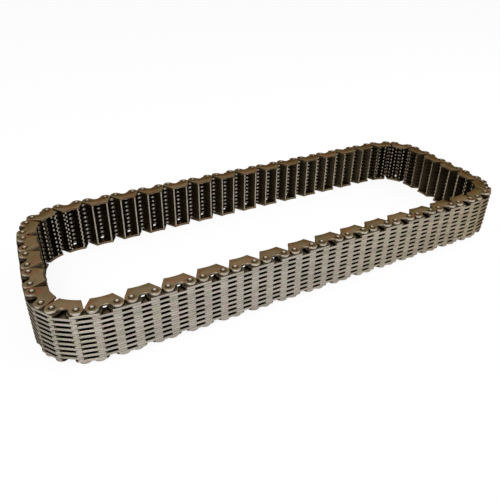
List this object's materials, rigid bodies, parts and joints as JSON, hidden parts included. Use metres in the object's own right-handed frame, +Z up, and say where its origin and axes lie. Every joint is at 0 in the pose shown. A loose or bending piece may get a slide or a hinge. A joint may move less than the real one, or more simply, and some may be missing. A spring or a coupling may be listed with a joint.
{
  "type": "inverted-tooth drive chain",
  "caption": "Endless inverted-tooth (silent) drive chain of laced steel plates on rocker pins, with guide plates on both sides.",
  "frame": {"origin": "middle of the loop, on the floor under the riveted pin ends", "axes": "+X along the two long strands, +Y across the loop, +Z up, parallel to every pin, across the chain's width"},
  "size_m": [0.3304, 0.1252, 0.0323],
  "materials": {
    "guide_plate_steel": "oiled, heat-treated, bronze-brown",
    "link_plate_steel": "blanked and tumbled, satin grey",
    "pin_steel": "ground, with bright riveted ends"
  },
  "bodies": {
    "section_01": {"guide_plates_01": "guide_plate_steel", "joint_pins_01": "pin_steel", "link_plates_01": "link_plate_steel"},
    "section_02": {"guide_plates_02": "guide_plate_steel", "joint_pins_02": "pin_steel", "link_plates_02": "link_plate_steel"},
    "section_03": {"guide_plates_03": "guide_plate_steel", "joint_pins_03": "pin_steel", "link_plates_03": "link_plate_steel"},
    "section_04": {"joint_pins_04": "pin_steel", "link_plates_04": "link_plate_steel"},
    "section_05": {"guide_plates_05": "guide_plate_steel", "joint_pins_05": "pin_steel", "link_plates_05": "link_plate_steel"},
    "section_06": {"guide_plates_06": "guide_plate_steel", "joint_pins_06": "pin_steel", "link_plates_06": "link_plate_steel"},
    "section_07": {"joint_pins_07": "pin_steel", "link_plates_07": "link_plate_steel"},
    "section_08": {"guide_plates_08": "guide_plate_steel", "joint_pins_08": "pin_steel", "link_plates_08": "link_plate_steel"},
    "section_09": {"guide_plates_09": "guide_plate_steel", "joint_pins_09": "pin_steel", "link_plates_09": "link_plate_steel"},
    "section_10": {"guide_plates_10": "guide_plate_steel", "joint_pins_10": "pin_steel", "link_plates_10": "link_plate_steel"},
    "section_11": {"guide_plates_11": "guide_plate_steel", "joint_pins_11": "pin_steel", "link_plates_11": "link_plate_steel"},
    "section_12": {"guide_plates_12": "guide_plate_steel", "joint_pins_12": "pin_steel", "link_plates_12": "link_plate_steel"},
    "section_13": {"guide_plates_13": "guide_plate_steel", "joint_pins_13": "pin_steel", "link_plates_13": "link_plate_steel"},
    "section_14": {"guide_plates_14": "guide_plate_steel", "joint_pins_14": "pin_steel", "link_plates_14": "link_plate_steel"},
    "section_15": {"joint_pins_15": "pin_steel", "link_plates_15": "link_plate_steel"},
    "section_16": {"guide_plates_16": "guide_plate_steel", "joint_pins_16": "pin_steel", "link_plates_16": "link_plate_steel"},
    "section_17": {"guide_plates_17": "guide_plate_steel", "joint_pins_17": "pin_steel", "link_plates_17": "link_plate_steel"},
    "section_18": {"guide_plates_18": "guide_plate_steel", "joint_pins_18": "pin_steel", "link_plates_18": "link_plate_steel"},
    "section_19": {"guide_plates_19": "guide_plate_steel", "joint_pins_19": "pin_steel", "link_plates_19": "link_plate_steel"},
    "section_20": {"guide_plates_20": "guide_plate_steel", "joint_pins_20": "pin_steel", "link_plates_20": "link_plate_steel"}
  },
  "joints": [
    {"name": "front_strand_left_joint", "type": "hinge", "parent": "section_01", "child": "section_20", "pos_m": [-0.06125, -0.05854, 0.01617], "axis": [0, 0, -1], "range_deg": [-4, 24.25]},
    {"name": "front_strand_middle_joint", "type": "hinge", "parent": "section_01", "child": "section_02", "pos_m": [-0.0041, -0.05854, 0.01617], "axis": [0, 0, 1], "range_deg": [-3.72, 25]},
    {"name": "front_strand_right_joint", "type": "hinge", "parent": "section_02", "child": "section_03", "pos_m": [0.05305, -0.05854, 0.01617], "axis": [0, 0, 1], "range_deg": [-4, 22.15]},
    {"name": "right_front_corner_start_joint", "type": "hinge", "parent": "section_03", "child": "section_04", "pos_m": [0.13848, -0.05575, 0.01617], "axis": [0, 0, 1], "range_deg": [-22.16, 6.85]},
    {"name": "right_front_corner_middle_joint", "type": "hinge", "parent": "section_04", "child": "section_05", "pos_m": [0.14657, -0.05072, 0.01617], "axis": [0, 0, 1], "range_deg": [-25.28, 3.73]},
    {"name": "right_front_corner_end_joint", "type": "hinge", "parent": "section_05", "child": "section_06", "pos_m": [0.15228, -0.04309, 0.01617], "axis": [0, 0, 1], "range_deg": [-22.16, 6.85]},
    {"name": "right_end_front_joint", "type": "hinge", "parent": "section_06", "child": "section_07", "pos_m": [0.15828, -0.00566, 0.01617], "axis": [0, 0, 1], "range_deg": [-4, 22.15]},
    {"name": "right_end_rear_joint", "type": "hinge", "parent": "section_07", "child": "section_08", "pos_m": [0.15909, 0.00383, 0.01617], "axis": [0, 0, 1], "range_deg": [-4, 24.25]},
    {"name": "right_rear_corner_start_joint", "type": "hinge", "parent": "section_08", "child": "section_09", "pos_m": [0.15923, 0.0417, 0.01617], "axis": [0, 0, 1], "range_deg": [-24.26, 4.75]},
    {"name": "right_rear_corner_end_joint", "type": "hinge", "parent": "section_09", "child": "section_10", "pos_m": [0.14662, 0.05544, 0.01617], "axis": [0, 0, 1], "range_deg": [-24.26, 4.75]},
    {"name": "rear_strand_right_joint", "type": "hinge", "parent": "section_10", "child": "section_11", "pos_m": [0.06125, 0.05854, 0.01617], "axis": [0, 0, 1], "range_deg": [-4, 25]},
    {"name": "rear_strand_left_joint", "type": "hinge", "parent": "section_13", "child": "section_12", "pos_m": [-0.05305, 0.05854, 0.01617], "axis": [0, 0, -1], "range_deg": [-4, 25]},
    {"name": "left_rear_corner_start_joint", "type": "hinge", "parent": "section_14", "child": "section_13", "pos_m": [-0.13848, 0.05575, 0.01617], "axis": [0, 0, -1], "range_deg": [-22.16, 6.85]},
    {"name": "left_rear_corner_middle_joint", "type": "hinge", "parent": "section_15", "child": "section_14", "pos_m": [-0.14657, 0.05072, 0.01617], "axis": [0, 0, -1], "range_deg": [-25.28, 3.73]},
    {"name": "left_rear_corner_end_joint", "type": "hinge", "parent": "section_16", "child": "section_15", "pos_m": [-0.15228, 0.04309, 0.01617], "axis": [0, 0, -1], "range_deg": [-22.16, 6.85]},
    {"name": "left_end_rear_joint", "type": "hinge", "parent": "section_17", "child": "section_16", "pos_m": [-0.15828, 0.00566, 0.01617], "axis": [0, 0, -1], "range_deg": [-4, 25]},
    {"name": "left_end_front_joint", "type": "hinge", "parent": "section_18", "child": "section_17", "pos_m": [-0.15909, -0.00383, 0.01617], "axis": [0, 0, -1], "range_deg": [-4, 25]},
    {"name": "left_front_corner_start_joint", "type": "hinge", "parent": "section_19", "child": "section_18", "pos_m": [-0.15923, -0.0417, 0.01617], "axis": [0, 0, -1], "range_deg": [-24.26, 4.75]},
    {"name": "left_front_corner_end_joint", "type": "hinge", "parent": "section_20", "child": "section_19", "pos_m": [-0.14662, -0.05544, 0.01617], "axis": [0, 0, -1], "range_deg": [-24.26, 4.75]}
  ],
  "couplings": [
    {"joint": "right_front_corner_start_joint", "follows": "front_strand_right_joint", "ratio": -1},
    {"joint": "rear_strand_left_joint", "follows": "front_strand_right_joint", "ratio": 1},
    {"joint": "left_rear_corner_start_joint", "follows": "front_strand_right_joint", "ratio": -1},
    {"joint": "right_front_corner_end_joint", "follows": "right_end_front_joint", "ratio": -1},
    {"joint": "left_end_rear_joint", "follows": "right_end_front_joint", "ratio": 1},
    {"joint": "left_rear_corner_end_joint", "follows": "right_end_front_joint", "ratio": -1},
    {"joint": "right_rear_corner_start_joint", "follows": "right_end_rear_joint", "ratio": -1},
    {"joint": "left_end_front_joint", "follows": "right_end_rear_joint", "ratio": 1},
    {"joint": "left_front_corner_start_joint", "follows": "right_end_rear_joint", "ratio": -1},
    {"joint": "right_rear_corner_end_joint", "follows": "front_strand_left_joint", "ratio": -1},
    {"joint": "rear_strand_right_joint", "follows": "front_strand_left_joint", "ratio": 1},
    {"joint": "left_front_corner_end_joint", "follows": "front_strand_left_joint", "ratio": -1},
    {"joint": "right_front_corner_middle_joint", "follows": "front_strand_middle_joint", "ratio": -1},
    {"joint": "left_rear_corner_middle_joint", "follows": "front_strand_middle_joint", "ratio": -1}
  ]
}
